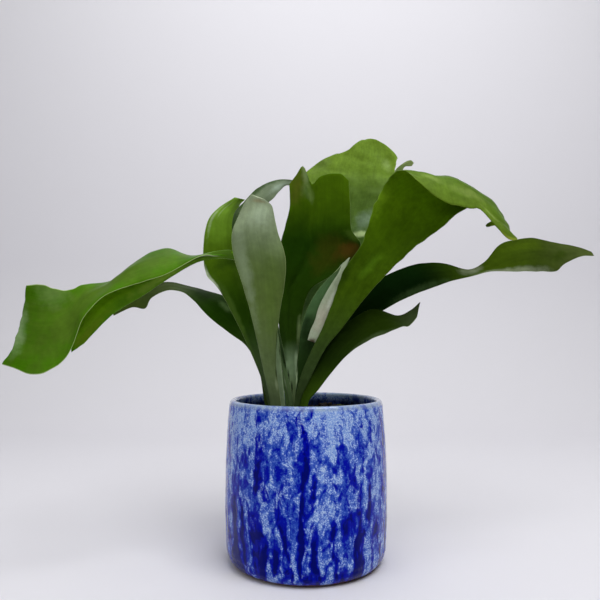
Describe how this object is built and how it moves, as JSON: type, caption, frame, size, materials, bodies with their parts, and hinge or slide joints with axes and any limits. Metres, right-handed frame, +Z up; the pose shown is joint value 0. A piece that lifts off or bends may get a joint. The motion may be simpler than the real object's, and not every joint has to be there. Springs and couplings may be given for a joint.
{
  "type": "potted staghorn fern",
  "caption": "Young staghorn fern with strap fronds, some forked or lobed, growing from the middle of a cylindrical pot with a streaky blue glaze.",
  "frame": {"origin": "centre of the pot's flat foot, on the surface that the pot stands on", "axes": "+Z up out of the pot's mouth along the pot's axis; +X towards the longest frond, which ends in a spoon; +Y away from the viewer of the picture"},
  "size_m": [0.4735, 0.1441, 0.3553],
  "materials": {
    "glaze": "thick glossy glaze, deep blue with pale streaks and runs",
    "bark_mix": "loose matte bark with some moss",
    "frond_mature": "smooth leathery green with a soft sheen",
    "frond_young": "smooth leathery bright green with a soft sheen",
    "frond_dark": "smooth leathery dark green with a soft sheen",
    "frond_felted": "matte silvery felt over green"
  },
  "bodies": {
    "root": {"pot": "glaze", "potting_mix": "bark_mix", "frond_left_front": "frond_felted", "frond_left_long": "frond_young", "frond_left_upright": "frond_young", "frond_back_arch": "frond_felted", "frond_left_low": "frond_dark", "frond_centre": "frond_mature", "frond_centre_back": "frond_young", "frond_right_broad": "frond_mature", "frond_right_long": "frond_dark", "frond_right_low": "frond_dark", "frond_back_curl": "frond_young", "frond_short_folded": "frond_felted"}
  },
  "joints": []
}
